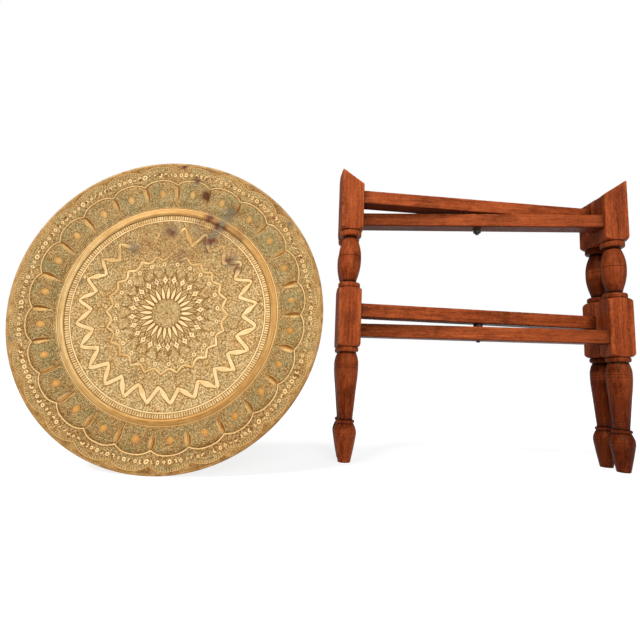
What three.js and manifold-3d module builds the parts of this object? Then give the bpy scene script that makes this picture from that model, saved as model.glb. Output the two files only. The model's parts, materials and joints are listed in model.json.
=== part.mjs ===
// Brass tray table: a round embossed brass tray and the folding wooden stand that carries it.
// The stand is two flat frames that cross like scissors. Each frame is a pair of turned legs joined
// by two rails, and the rails of one frame lie just under the rails of the other. Two vertical bolts
// through the middles of the rails are the pivots. The row is the folded stand with the tray
// standing on its edge beside it.
//
// Units are millimetres, +Z is up, -Y is the side that the tray faces. The origin is the middle of
// the underside of the whole row, on the floor.

import * as THREE from 'three';
import { mergeVertices } from 'three/addons/utils/BufferGeometryUtils.js';
import Module from 'manifold-3d';

const wasm = await Module();
wasm.setup();

// ---------------------------------------------------------------- driving dimensions

const FIT_GAP = 0.3;                  // clearance between neighbouring pieces

const STAND_HEIGHT = 560;             // floor to the peaks of the legs
const LEG_CIRCLE_RADIUS = 261;        // pivot axis to the axis of each leg
const STOCK = 44;                     // side of the square timber that each leg is turned from
const SEAT_SLOPE = THREE.MathUtils.degToRad(33);        // slant of each leg's top, peak outwards
const FOLD_HALF_ANGLE = THREE.MathUtils.degToRad(5.3);  // each frame's turn when the legs touch
const PEAK_FLAT = 2.2;                // width of the blunted edge at the peak
const COLLAR_RADIUS = 21.3;           // the turned rings beside the blocks

const RAIL_HEIGHT = 26.5;
const RAIL_THICKNESS = 34;
const UPPER_RAIL_CENTRES = { a: 508, b: 478.5 };
const LOWER_RAIL_CENTRES = { a: 282.5, b: 249.5 };
const TENON_HEIGHT = 17;
const TENON_THICKNESS = 13;
const TENON_LENGTH = 30;
const PEG_RADIUS = 3.2;
const PEG_INSET = 14;                 // peg's axis to the inner face of the leg

const BOLT_RADIUS = 4;
const BOLT_HEAD_HEIGHT = 5.3;
const BOLT_HEAD_RADIUS = 7.5;         // to the corners of the hexagon
const NUT_HEIGHT = 6.5;
const WASHER_RADIUS = 9;
const WASHER_THICKNESS = 1.6;
const HEAD_RECESS_DEPTH = 8;
const NUT_RECESS_DEPTH = 8.6;         // the lower nut is let into its rail
const BOLT_END = 3.4;                 // bolt standing out below its nut

const TRAY_RADIUS = 246.5;
const TRAY_SHEET = 1.5;
const TRAY_DEPTH = 14;                // rim plane to the flat floor
const TRAY_LEAN = THREE.MathUtils.degToRad(2.4);
const TRAY_TURN = THREE.MathUtils.degToRad(-1.55);
const TRAY_PLACE = { x: -557, y: -185 };            // the tray's middle from the pivot axis

const LEG_SIDES = 20;
const HARDWARE_SIDES = 12;
const TRAY_SIDES = 60;

// ---------------------------------------------------------------- materials

const varnishedWood = () => new THREE.MeshStandardMaterial({ color: 0x9a4a26, roughness: 0.45, metalness: 0 });
const darkPeg = () => new THREE.MeshStandardMaterial({ color: 0x4a2414, roughness: 0.6, metalness: 0 });
const darkIron = () => new THREE.MeshStandardMaterial({ color: 0x35302c, roughness: 0.55, metalness: 0.9 });
const agedBrass = () => new THREE.MeshStandardMaterial({ color: 0xc39a4e, roughness: 0.35, metalness: 1 });

// ---------------------------------------------------------------- solids and booleans

// A closed three.js geometry as a manifold solid, its shared vertices merged.
function solidOf(geometry) {
  const bare = geometry.clone();
  bare.deleteAttribute('normal');
  bare.deleteAttribute('uv');
  const merged = mergeVertices(bare, 1e-4);
  return new wasm.Manifold(new wasm.Mesh({
    numProp: 3,
    vertProperties: new Float32Array(merged.attributes.position.array),
    triVerts: new Uint32Array(merged.index.array),
  }));
}

// A manifold solid as a three.js geometry.
function geometryOf(solid) {
  const mesh = solid.getMesh();
  const geometry = new THREE.BufferGeometry();
  geometry.setAttribute('position', new THREE.BufferAttribute(new Float32Array(mesh.vertProperties), 3));
  geometry.setIndex(new THREE.BufferAttribute(new Uint32Array(mesh.triVerts), 1));
  geometry.computeVertexNormals();
  return geometry;
}

// A body turned about Z from [radius, height] pairs that start and end on the axis, lowest first.
function turned(profile, sides) {
  const points = profile.map(([radius, height]) => new THREE.Vector2(radius, height));
  const geometry = new THREE.LatheGeometry(points, sides);
  geometry.rotateX(Math.PI / 2);
  return geometry;
}

function box(width, depth, height, x, y, z) {
  return new THREE.BoxGeometry(width, depth, height).translate(x, y, z);
}

// An upright round bar between two heights, at x on the pivot plane.
function uprightBar(radius, bottom, top, sides = HARDWARE_SIDES, x = 0) {
  const bar = new THREE.CylinderGeometry(radius, radius, top - bottom, sides);
  bar.rotateX(Math.PI / 2);
  return bar.translate(x, 0, (top + bottom) / 2);
}

// A level round bar across the thickness of a frame, at x and z.
function crossBar(radius, length, x, z) {
  return new THREE.CylinderGeometry(radius, radius, length, HARDWARE_SIDES).translate(x, 0, z);
}

function named(name, geometry, material) {
  const mesh = new THREE.Mesh(geometry, material);
  mesh.name = name;
  return mesh;
}

// ---------------------------------------------------------------- legs

const HALF_STOCK = STOCK / 2;
const CORNER_RADIUS = STOCK * 0.75;   // beyond the corners, so the lathe leaves the block square

// Points of a smooth stretch of the turning, as [radius, height] pairs.
function smooth(pairs, steps) {
  const curve = new THREE.SplineCurve(pairs.map(([radius, height]) => new THREE.Vector2(radius, height)));
  return curve.getPoints(steps).map((point) => [point.x, point.y]);
}

// A rounded ring of the turning between two heights.
function ring(radius, bottom, top) {
  const edge = (top - bottom) * 0.28;
  return [[radius - edge, bottom], [radius, bottom + edge], [radius, top - edge], [radius - edge, top]];
}

// A narrow groove cut by the lathe.
function groove(radius, height, width = 1.6, depth = 0.9) {
  return [[radius, height - width / 2], [radius - depth, height], [radius, height + width / 2]];
}

// The shoulder where the turning runs out into the square block; up is 1 below a block, -1 above it.
function shoulder(height, up) {
  const steps = [[0, 0], [0.45, 1.2], [0.8, 4], [1, 9]];
  const points = steps.map(([run, rise]) => [
    THREE.MathUtils.lerp(COLLAR_RADIUS, CORNER_RADIUS, run), height + up * rise,
  ]);
  return up > 0 ? points : points.reverse();
}

function legProfile() {
  return [
    [0, 0],
    [10.2, 0], [11.8, 1.8],
    [16.4, 25], [20.8, 50],
    ...groove(21.1, 53),
    [20.4, 59], [17.8, 66], [15.2, 70],
    ...ring(17.2, 71, 77),
    [13.5, 78.5], [17.8, 127], [21, 163],
    ...groove(21.6, 174), ...groove(21.7, 179),
    ...smooth([[21.2, 187], [19.6, 195.5], [16.8, 202.5]], 3),
    ...ring(COLLAR_RADIUS, 203.5, 212),
    ...shoulder(213.5, 1),
    ...shoulder(325.5, -1),
    ...ring(COLLAR_RADIUS, 327, 335.5),
    ...smooth([[13.2, 337], [17, 352], [20.8, 369], [21.6, 384]], 5),
    ...groove(21.6, 388),
    ...smooth([[21.4, 393], [19, 410], [13.2, 427]], 5),
    ...ring(COLLAR_RADIUS, 428, 438.5),
    ...shoulder(440.5, 1),
    [CORNER_RADIUS, STAND_HEIGHT + 1],
    [0, STAND_HEIGHT + 1],
  ];
}

// The square timber with its slanted seat, peak at +X, seen from the side and extruded across.
function legTimber() {
  const outline = new THREE.Shape();
  const seatDrop = (STOCK - PEAK_FLAT) * Math.tan(SEAT_SLOPE);
  outline.moveTo(-HALF_STOCK, 0);
  outline.lineTo(HALF_STOCK, 0);
  outline.lineTo(HALF_STOCK, STAND_HEIGHT - PEAK_FLAT);
  outline.lineTo(HALF_STOCK - PEAK_FLAT * 0.4, STAND_HEIGHT - PEAK_FLAT * 0.3);
  outline.lineTo(HALF_STOCK - PEAK_FLAT, STAND_HEIGHT);
  outline.lineTo(-HALF_STOCK, STAND_HEIGHT - seatDrop);
  const timber = new THREE.ExtrudeGeometry(outline, { depth: STOCK, bevelEnabled: false });
  timber.translate(0, 0, -HALF_STOCK);
  return timber.rotateX(Math.PI / 2);
}

// A leg with its outer side towards +X, mortised from -X for the rails at the given heights.
function legGeometry(railHeights) {
  let leg = solidOf(legTimber()).intersect(solidOf(turned(legProfile(), LEG_SIDES)));
  for (const height of railHeights) {
    const mortiseDepth = TENON_LENGTH + 2 * FIT_GAP;
    const mortise = box(
      mortiseDepth + STOCK, TENON_THICKNESS + 2 * FIT_GAP, TENON_HEIGHT + 2 * FIT_GAP,
      -HALF_STOCK + mortiseDepth - (mortiseDepth + STOCK) / 2, 0, height,
    );
    const pegHole = crossBar(PEG_RADIUS + FIT_GAP, STOCK * 2, PEG_INSET - HALF_STOCK, height);
    leg = leg.subtract(solidOf(mortise)).subtract(solidOf(pegHole));
  }
  return geometryOf(leg);
}

// ---------------------------------------------------------------- rails and pegs

const SHOULDER_REACH = LEG_CIRCLE_RADIUS - HALF_STOCK - FIT_GAP;

// A rail along X with a tenon at each end, bored for its bolt, and with a round recess in one face.
function railGeometry(height, recess) {
  const tenonReach = SHOULDER_REACH + FIT_GAP + TENON_LENGTH;
  const bar = solidOf(box(SHOULDER_REACH * 2, RAIL_THICKNESS, RAIL_HEIGHT, 0, 0, height));
  const tenons = solidOf(box(tenonReach * 2, TENON_THICKNESS, TENON_HEIGHT, 0, 0, height));
  let rail = bar.add(tenons);
  for (const side of [-1, 1]) {
    const pegAxis = side * (LEG_CIRCLE_RADIUS - HALF_STOCK + PEG_INSET);
    rail = rail.subtract(solidOf(crossBar(PEG_RADIUS + FIT_GAP, STOCK, pegAxis, height)));
  }
  const bore = uprightBar(BOLT_RADIUS + FIT_GAP + 0.1, height - RAIL_HEIGHT, height + RAIL_HEIGHT);
  rail = rail.subtract(solidOf(bore));
  if (recess) {
    const face = height + recess.side * RAIL_HEIGHT / 2;
    const floor = face - recess.side * recess.depth;
    const cut = uprightBar(WASHER_RADIUS + 1.5, Math.min(floor, face + recess.side), Math.max(floor, face + recess.side));
    rail = rail.subtract(solidOf(cut));
  }
  return geometryOf(rail);
}

// ---------------------------------------------------------------- pivot hardware

function washerGeometry(bottom, thickness) {
  const washer = solidOf(uprightBar(WASHER_RADIUS, bottom, bottom + thickness));
  const hole = solidOf(uprightBar(BOLT_RADIUS + FIT_GAP + 0.1, bottom - 1, bottom + thickness + 1));
  return geometryOf(washer.subtract(hole));
}

function boltGeometry(bottom, headBottom) {
  const shank = solidOf(turned([
    [0, bottom], [BOLT_RADIUS - 0.8, bottom], [BOLT_RADIUS, bottom + 0.8],
    [BOLT_RADIUS, headBottom + 0.5], [0, headBottom + 0.5],
  ], HARDWARE_SIDES));
  const head = solidOf(uprightBar(BOLT_HEAD_RADIUS, headBottom, headBottom + BOLT_HEAD_HEIGHT, 6));
  return geometryOf(shank.add(head));
}

function nutGeometry(bottom) {
  const nut = solidOf(uprightBar(BOLT_HEAD_RADIUS, bottom, bottom + NUT_HEIGHT, 6));
  const thread = solidOf(uprightBar(BOLT_RADIUS + FIT_GAP, bottom - 1, bottom + NUT_HEIGHT + 1));
  return geometryOf(nut.subtract(thread));
}

// The bolt, its washers and its nut at one pivot. The bolt's head is let into the top of rail a.
function pivotHardware(level, centres, nutRecess) {
  const headWasher = centres.a + RAIL_HEIGHT / 2 - HEAD_RECESS_DEPTH + FIT_GAP;
  const boltHead = headWasher + WASHER_THICKNESS + FIT_GAP;
  const betweenRails = centres.b + RAIL_HEIGHT / 2;
  const spacerThickness = centres.a - centres.b - RAIL_HEIGHT - 2 * FIT_GAP;
  const nutWasher = centres.b - RAIL_HEIGHT / 2 + nutRecess - FIT_GAP - WASHER_THICKNESS;
  const nut = nutWasher - FIT_GAP - NUT_HEIGHT;
  return [
    named(`pivot_bolt_${level}`, boltGeometry(nut - BOLT_END, boltHead), darkIron()),
    named(`head_washer_${level}`, washerGeometry(headWasher, WASHER_THICKNESS), darkIron()),
    named(`spacer_washer_${level}`, washerGeometry(betweenRails + FIT_GAP, spacerThickness), darkIron()),
    named(`nut_washer_${level}`, washerGeometry(nutWasher, WASHER_THICKNESS), darkIron()),
    named(`pivot_nut_${level}`, nutGeometry(nut), darkIron()),
  ];
}

// ---------------------------------------------------------------- one frame of the stand

// A frame lies along X: its own left leg at -X and its right leg at +X.
function standFrame({ letter, leftLeg, rightLeg, upper, lower, upperRecess, lowerRecess }) {
  const frame = new THREE.Group();
  const heights = { upper, lower };

  const right = named(rightLeg, legGeometry([upper, lower]), varnishedWood());
  right.position.x = LEG_CIRCLE_RADIUS;
  const left = named(leftLeg, legGeometry([upper, lower]), varnishedWood());
  left.position.x = -LEG_CIRCLE_RADIUS;
  left.rotation.z = Math.PI;
  frame.add(left, right);

  frame.add(named(`upper_rail_${letter}`, railGeometry(upper, upperRecess), varnishedWood()));
  frame.add(named(`lower_rail_${letter}`, railGeometry(lower, lowerRecess), varnishedWood()));

  for (const [level, height] of Object.entries(heights)) {
    for (const [side, sign] of [['left', -1], ['right', 1]]) {
      const x = sign * (LEG_CIRCLE_RADIUS - HALF_STOCK + PEG_INSET);
      const peg = crossBar(PEG_RADIUS, STOCK, x, height);
      frame.add(named(`tenon_peg_${level}_${letter}_${side}`, peg, darkPeg()));
    }
  }
  return frame;
}

// ---------------------------------------------------------------- tray

// The tray's upper surface from its middle outwards: flat floor, plain ridge, sloping wall, brim.
const TRAY_UPPER = [
  [0, -TRAY_DEPTH],
  [0.660 * TRAY_RADIUS, -TRAY_DEPTH],
  [0.672 * TRAY_RADIUS, -TRAY_DEPTH + 2.5],
  [0.681 * TRAY_RADIUS, -TRAY_DEPTH + 2.9],
  [0.711 * TRAY_RADIUS, -TRAY_DEPTH + 0.7],
  [0.721 * TRAY_RADIUS, -TRAY_DEPTH + 0.6],
  [0.792 * TRAY_RADIUS, -TRAY_DEPTH + 4.2],
  [0.858 * TRAY_RADIUS, -TRAY_DEPTH + 8.6],
  [0.896 * TRAY_RADIUS, -TRAY_DEPTH + 10.8],
  [0.975 * TRAY_RADIUS, -TRAY_DEPTH + 13.2],
];

function trayGeometry() {
  const under = TRAY_UPPER.map(([radius, height]) => [radius, height - TRAY_SHEET]);
  const rim = [
    [TRAY_RADIUS - 0.6, -TRAY_SHEET - 1.2],
    [TRAY_RADIUS, -TRAY_SHEET - 0.6],
    [TRAY_RADIUS, -0.8],
    [TRAY_RADIUS - 0.8, 0],
    [TRAY_RADIUS - 2.6, 0],
  ];
  return turned([...under, ...rim, ...[...TRAY_UPPER].reverse()], TRAY_SIDES);
}

// The tray standing on its edge, turned to face -Y and leaning back a little.
function standingTray() {
  const tray = named('brass_tray', trayGeometry(), agedBrass());
  tray.rotation.x = Math.PI / 2 - TRAY_LEAN;
  const place = new THREE.Group();
  place.add(tray);
  place.rotation.z = TRAY_TURN;
  place.position.set(TRAY_PLACE.x, TRAY_PLACE.y, 0);
  place.updateMatrixWorld(true);
  place.position.z = -new THREE.Box3().setFromObject(place, true).min.z;
  return place;
}

// ---------------------------------------------------------------- the whole row

const table = new THREE.Group();

const frameA = standFrame({
  letter: 'a',
  leftLeg: 'leg_front_left',
  rightLeg: 'leg_back_right',
  upper: UPPER_RAIL_CENTRES.a,
  lower: LOWER_RAIL_CENTRES.a,
  upperRecess: { side: 1, depth: HEAD_RECESS_DEPTH },
  lowerRecess: { side: 1, depth: HEAD_RECESS_DEPTH },
});
frameA.rotation.z = FOLD_HALF_ANGLE;
frameA.add(...pivotHardware('upper', UPPER_RAIL_CENTRES, 0));
frameA.add(...pivotHardware('lower', LOWER_RAIL_CENTRES, NUT_RECESS_DEPTH));

const frameB = standFrame({
  letter: 'b',
  leftLeg: 'leg_back_left',
  rightLeg: 'leg_front_right',
  upper: UPPER_RAIL_CENTRES.b,
  lower: LOWER_RAIL_CENTRES.b,
  upperRecess: null,
  lowerRecess: { side: -1, depth: NUT_RECESS_DEPTH },
});
frameB.rotation.z = -FOLD_HALF_ANGLE;

table.add(frameA, frameB, standingTray());
table.updateMatrixWorld(true);

// The origin goes to the middle of the underside of the row.
const extent = new THREE.Box3().setFromObject(table, true);
const middle = extent.getCenter(new THREE.Vector3());
table.position.set(-middle.x, -middle.y, -extent.min.z);
table.updateMatrixWorld(true);

export default table;
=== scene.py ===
"""The looks of the brass tray table: an embossed brass tray on its edge beside its folded stand.

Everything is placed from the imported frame. Each piece is built in its own frame, in millimetres,
with Z along the wood's grain or the tray's face normal, and then set in the row's frame, in metres.
"""

import json
import math

import bpy
import numpy as np
from mathutils import Matrix, Vector


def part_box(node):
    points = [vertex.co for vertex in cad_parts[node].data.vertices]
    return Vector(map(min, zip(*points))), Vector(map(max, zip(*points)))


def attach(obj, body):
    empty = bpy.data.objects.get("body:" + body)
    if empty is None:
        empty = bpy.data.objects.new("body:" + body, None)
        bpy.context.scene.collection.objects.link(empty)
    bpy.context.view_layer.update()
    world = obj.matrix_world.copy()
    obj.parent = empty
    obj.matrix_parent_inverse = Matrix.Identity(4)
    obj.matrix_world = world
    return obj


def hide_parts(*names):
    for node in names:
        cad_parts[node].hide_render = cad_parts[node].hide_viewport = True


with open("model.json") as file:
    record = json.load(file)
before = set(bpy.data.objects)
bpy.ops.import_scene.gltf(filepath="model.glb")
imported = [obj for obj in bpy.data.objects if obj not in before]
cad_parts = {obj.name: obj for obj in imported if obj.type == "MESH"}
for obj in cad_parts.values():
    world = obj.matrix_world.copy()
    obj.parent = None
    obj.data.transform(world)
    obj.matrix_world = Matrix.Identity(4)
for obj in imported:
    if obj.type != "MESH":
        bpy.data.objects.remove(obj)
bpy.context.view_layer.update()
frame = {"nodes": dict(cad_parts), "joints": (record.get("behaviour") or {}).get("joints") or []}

MM = 0.001
TAU = 2 * math.pi
UP = Vector((0, 0, 1))

# ------------------------------------------------------------------ facts read from the frame

joints = {joint["name"]: joint for joint in frame["joints"]}
fold_axis = Vector(joints["frame_fold"]["pos_m"])
pivot = Vector((fold_axis.x, fold_axis.y, 0))
stand_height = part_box("leg_front_left")[1].z

FRAMES = {
    "a": {"body": "frame_a", "left": "leg_front_left", "right": "leg_back_right"},
    "b": {"body": "frame_b", "left": "leg_back_left", "right": "leg_front_right"},
}


def box_centre(node):
    low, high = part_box(node)
    return (low + high) / 2


def frame_direction(letter):
    """Level unit vector from a frame's left leg to its right leg."""
    names = FRAMES[letter]
    along = box_centre(names["right"]) - box_centre(names["left"])
    return Vector((along.x, along.y, 0)).normalized()


def placed(x_axis, y_axis, z_axis, origin):
    """Matrix from a piece's own frame, in millimetres, to the row's frame, in metres."""
    turn = Matrix((x_axis, y_axis, z_axis)).transposed().to_4x4()
    return Matrix.Translation(origin) @ turn @ Matrix.Scale(MM, 4)


# ------------------------------------------------------------------ numbers and noise


def smooth_step(low, high, value):
    t = np.clip((value - low) / (high - low), 0, 1)
    return t * t * (3 - 2 * t)


def soft_band(distance, half_width, softness):
    """1 where the distance is under half_width, 0 beyond it, with a soft edge."""
    return 1 - smooth_step(half_width - softness, half_width + softness, np.abs(distance))


def lattice_noise(x, y, cell, seed):
    """Smooth noise from 0 to 1 on a square lattice."""
    table = np.random.default_rng(seed).random((64, 64))
    gx, gy = x / cell, y / cell
    ix, iy = np.floor(gx).astype(int), np.floor(gy).astype(int)
    fx, fy = smooth_step(0, 1, gx - ix), smooth_step(0, 1, gy - iy)
    a, b = table[ix % 64, iy % 64], table[(ix + 1) % 64, iy % 64]
    c, d = table[ix % 64, (iy + 1) % 64], table[(ix + 1) % 64, (iy + 1) % 64]
    return (a * (1 - fx) + b * fx) * (1 - fy) + (c * (1 - fx) + d * fx) * fy


def wobble(points, wavelength, seed):
    """Gentle waviness from -1 to 1 over points in space, as left by hand work."""
    rng = np.random.default_rng(seed)
    total = np.zeros(points.shape[:-1])
    for _ in range(6):
        direction = rng.normal(size=3)
        direction /= np.linalg.norm(direction)
        pace = TAU / (wavelength * rng.uniform(0.6, 1.6))
        total += np.sin(points @ direction * pace + rng.uniform(0, TAU))
    return total / 6


def curve_through(points, steps):
    """Catmull-Rom curve through [radius, height] pairs, with that many steps between two of them."""
    p = np.array([points[0], *points, points[-1]], float)
    out = []
    for i in range(1, len(p) - 2):
        for t in np.arange(steps) / steps:
            linear = (p[i + 1] - p[i - 1]) * t
            square = (2 * p[i - 1] - 5 * p[i] + 4 * p[i + 1] - p[i + 2]) * t**2
            cube = (3 * p[i] - p[i - 1] - 3 * p[i + 1] + p[i + 2]) * t**3
            out.append(0.5 * (2 * p[i] + linear + square + cube))
    out.append(p[-2])
    return [tuple(q) for q in out]


# ------------------------------------------------------------------ meshes


def mesh_object(name, points, faces, matrix, attributes=None):
    """A smooth-shaded object from points in millimetres and arrays of faces with 3 or 4 corners."""
    mesh = bpy.data.meshes.new(name)
    mesh.vertices.add(len(points))
    mesh.vertices.foreach_set("co", np.asarray(points, np.float32).ravel())
    corners = np.concatenate([f.ravel() for f in faces]).astype(np.int32)
    sizes = np.concatenate([np.full(len(f), f.shape[1]) for f in faces])
    starts = np.concatenate([[0], np.cumsum(sizes)[:-1]]).astype(np.int32)
    mesh.loops.add(len(corners))
    mesh.loops.foreach_set("vertex_index", corners)
    mesh.polygons.add(len(starts))
    mesh.polygons.foreach_set("loop_start", starts)
    mesh.polygons.foreach_set("use_smooth", np.ones(len(starts), bool))
    mesh.update(calc_edges=True)
    set_attribute(mesh, "own_place", np.asarray(points) * MM)
    for key, values in (attributes or {}).items():
        set_attribute(mesh, key, values)
    mesh.transform(matrix)
    piece = bpy.data.objects.new(name, mesh)
    bpy.context.scene.collection.objects.link(piece)
    return piece


def set_attribute(mesh, name, values):
    values = np.asarray(values, np.float32)
    if values.ndim == 1:
        mesh.attributes.new(name, "FLOAT", "POINT").data.foreach_set("value", values)
    else:
        layer = mesh.attributes.new(name, "FLOAT_VECTOR", "POINT")
        layer.data.foreach_set("vector", values.ravel())


def ring_faces(rows, columns, looped=False):
    """Quads between rings of points that run anticlockwise about Z, the rings going upwards."""
    i = np.arange(rows if looped else rows - 1)[:, None]
    j = np.arange(columns)[None, :]
    here, there = i * columns, ((i + 1) % rows) * columns
    after = (j + 1) % columns
    return np.stack([here + j, here + after, there + after, there + j], -1).reshape(-1, 4)


def stacked(radii, angles, heights):
    """Rings of points from polar radii, angles and heights that broadcast to rows by columns."""
    radii, heights = np.broadcast_arrays(radii, heights)
    return np.stack([radii * np.cos(angles), radii * np.sin(angles), heights], -1)


def capped_rings(rings):
    """Points and faces of a body of stacked rings, its two ends closed on their own middles."""
    rows, columns = rings.shape[:2]
    points = np.concatenate([rings.reshape(-1, 3), rings[:1].mean(1), rings[-1:].mean(1)])
    j = np.arange(columns)
    after = (j + 1) % columns
    last = (rows - 1) * columns
    bottom = np.stack([np.full(columns, rows * columns), after, j], -1)
    top = np.stack([np.full(columns, rows * columns + 1), last + j, last + after], -1)
    return points, [ring_faces(rows, columns), bottom, top]


def cut_round_hole(piece, matrix, radius, low, high):
    """Cuts an upright round recess, in the piece's own millimetres, out of a piece."""
    angles = np.linspace(0, TAU, 96, endpoint=False)
    rings = stacked(np.full((2, len(angles)), radius), angles, np.array([[low], [high]]))
    points, faces = capped_rings(rings)
    cutter = mesh_object("cutter", points, faces, matrix)
    cut = piece.modifiers.new("recess", "BOOLEAN")
    cut.operation = "DIFFERENCE"
    cut.solver = "EXACT"
    cut.object = cutter
    bpy.context.view_layer.update()
    evaluated = piece.evaluated_get(bpy.context.evaluated_depsgraph_get())
    carved = bpy.data.meshes.new_from_object(evaluated)
    piece.modifiers.clear()
    old = piece.data
    carved.name = old.name + "_carved"
    piece.data = carved
    bpy.data.meshes.remove(old)
    bpy.data.objects.remove(cutter)


def finish_piece(piece, body, material, slot, *nodes):
    piece.data.materials.clear()
    piece.data.materials.append(material)
    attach(piece, body)
    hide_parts(*nodes)


# ------------------------------------------------------------------ material helpers


class Nodes:
    """A small builder for a material's node tree."""

    def __init__(self, name):
        self.material = bpy.data.materials.new(name)
        self.material.use_nodes = True
        self.tree = self.material.node_tree
        self.tree.nodes.clear()
        self.output = self.tree.nodes.new("ShaderNodeOutputMaterial")
        self.shader = self.tree.nodes.new("ShaderNodeBsdfPrincipled")
        self.tree.links.new(self.shader.outputs["BSDF"], self.output.inputs["Surface"])

    def link(self, source, node, socket):
        """Joins an output socket to an input, or sets the input if the source is a plain value."""
        target = node.inputs[socket]
        if isinstance(source, bpy.types.NodeSocket):
            self.tree.links.new(source, target)
        else:
            target.default_value = source

    def attribute(self, name, output="Fac"):
        node = self.tree.nodes.new("ShaderNodeAttribute")
        node.attribute_name = name
        return node.outputs[output]

    def stretched(self, vector, scale, offset=(0, 0, 0)):
        node = self.tree.nodes.new("ShaderNodeMapping")
        node.inputs["Scale"].default_value = scale
        node.inputs["Location"].default_value = offset
        self.link(vector, node, "Vector")
        return node.outputs["Vector"]

    def noise(self, vector, scale, detail=4, rough=0.5, distortion=0):
        node = self.tree.nodes.new("ShaderNodeTexNoise")
        self.link(vector, node, "Vector")
        node.inputs["Scale"].default_value = scale
        node.inputs["Detail"].default_value = detail
        node.inputs["Roughness"].default_value = rough
        node.inputs["Distortion"].default_value = distortion
        return node.outputs["Fac"]

    def cells(self, vector, scale, feature="F1"):
        node = self.tree.nodes.new("ShaderNodeTexVoronoi")
        node.feature = feature
        self.link(vector, node, "Vector")
        node.inputs["Scale"].default_value = scale
        return node.outputs["Distance"]

    def math(self, operation, a, b=0.0, clamp=False):
        node = self.tree.nodes.new("ShaderNodeMath")
        node.operation = operation
        node.use_clamp = clamp
        self.link(a, node, 0)
        self.link(b, node, 1)
        return node.outputs[0]

    def remap(self, value, low, high, new_low=0.0, new_high=1.0):
        node = self.tree.nodes.new("ShaderNodeMapRange")
        node.interpolation_type = "SMOOTHSTEP"
        self.link(value, node, "Value")
        settings = (("From Min", low), ("From Max", high), ("To Min", new_low), ("To Max", new_high))
        for key, setting in settings:
            node.inputs[key].default_value = setting
        return node.outputs["Result"]

    def ramp(self, value, stops):
        node = self.tree.nodes.new("ShaderNodeValToRGB")
        elements = node.color_ramp.elements
        while len(elements) < len(stops):
            elements.new(0.5)
        for element, (position, colour) in zip(elements, stops):
            element.position = position
            element.color = (*colour, 1)
        self.link(value, node, "Fac")
        return node.outputs["Color"]

    def mix(self, factor, a, b, blend="MIX"):
        node = self.tree.nodes.new("ShaderNodeMix")
        node.data_type = "RGBA"
        node.blend_type = blend
        self.link(factor, node, 0)
        for socket, colour in ((6, a), (7, b)):
            value = colour if isinstance(colour, bpy.types.NodeSocket) else (*colour, 1)
            self.link(value, node, socket)
        return node.outputs[2]

    def bump(self, height, strength, distance):
        node = self.tree.nodes.new("ShaderNodeBump")
        node.inputs["Strength"].default_value = strength
        node.inputs["Distance"].default_value = distance
        self.link(height, node, "Height")
        self.link(node.outputs["Normal"], self.shader, "Normal")


# ------------------------------------------------------------------ materials


BRASS_SHARE = 0.50  # how much darker than its look under the studio light the brass itself is
WOOD_SHARE = 0.45


def paint(red, green, blue, share):
    """A surface colour from how it looks in the studio light, in sRGB from 0 to 255."""
    channels = [v / 255 for v in (red, green, blue)]
    linear = [v / 12.92 if v <= 0.04045 else ((v + 0.055) / 1.055) ** 2.4 for v in channels]
    return tuple(v * share for v in linear)


def brass_paint(red, green, blue):
    return paint(red, green, blue, BRASS_SHARE)


def wood_paint(red, green, blue):
    return paint(red, green, blue, WOOD_SHARE)


WOOD_LOOKS = ((0.36, 84, 28, 8), (0.45, 142, 60, 26), (0.54, 184, 84, 40), (0.66, 220, 118, 64))


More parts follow.
